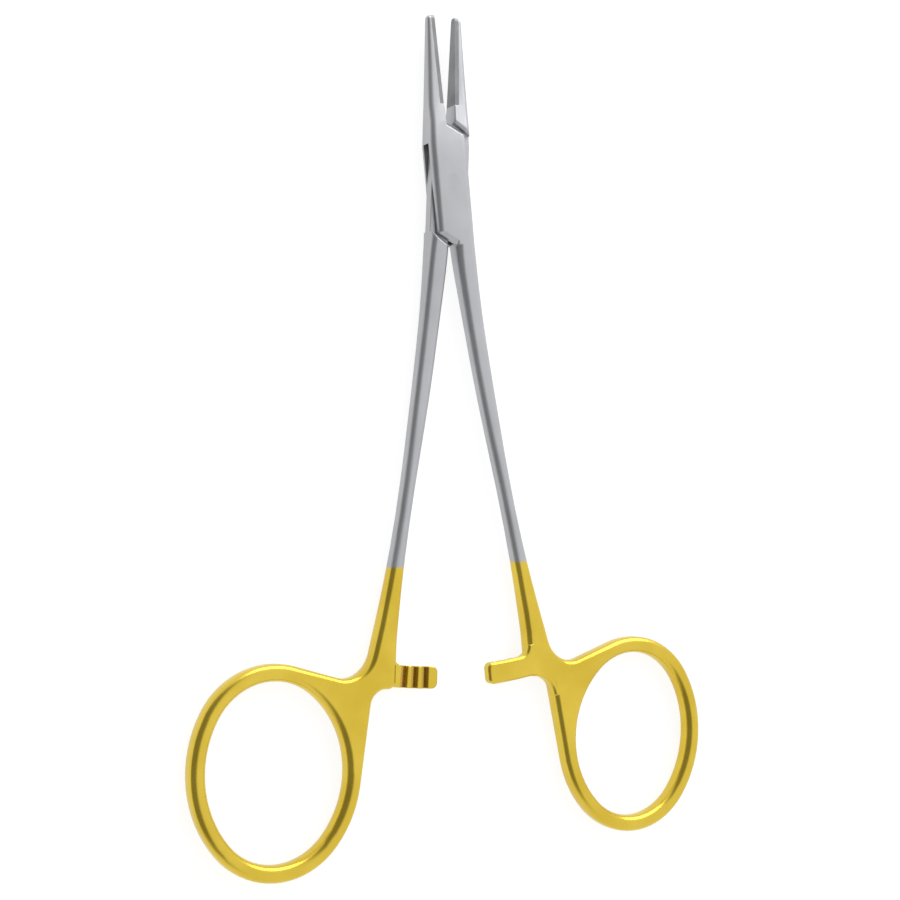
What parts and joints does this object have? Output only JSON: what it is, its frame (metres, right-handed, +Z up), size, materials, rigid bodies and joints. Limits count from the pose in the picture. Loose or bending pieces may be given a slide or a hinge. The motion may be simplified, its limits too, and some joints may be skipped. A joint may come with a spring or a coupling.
{
  "type": "surgical needle holder",
  "caption": "Hand-held needle holder with slender tapered jaws, hard jaw inserts, a box lock, a toothed ratchet and gold-plated finger rings.",
  "frame": {"origin": "on the axis of the lock's pin, at the underside of the lock", "axes": "+Y along the middle line between the arms towards the jaw tips, +Z up along the pin, +X towards the ring of the outer arm"},
  "size_m": [0.0892, 0.1285, 0.0038],
  "materials": {
    "arm_steel": "satin stainless steel, gold-plated over the ratchets, webs and finger rings",
    "pin_steel": "satin, ground flush with the lock",
    "hard_metal": "dull dark grey sintered hard metal"
  },
  "bodies": {
    "outer_arm": {"female_arm": "arm_steel", "pivot_pin": "pin_steel", "female_insert": "hard_metal"},
    "inner_arm": {"male_arm": "arm_steel", "male_insert": "hard_metal"}
  },
  "joints": [
    {"name": "box_lock", "type": "hinge", "parent": "outer_arm", "child": "inner_arm", "pos_m": [0, 0, 0], "axis": [0, 0, 1], "range_deg": [-52.1, 7.9]}
  ]
}
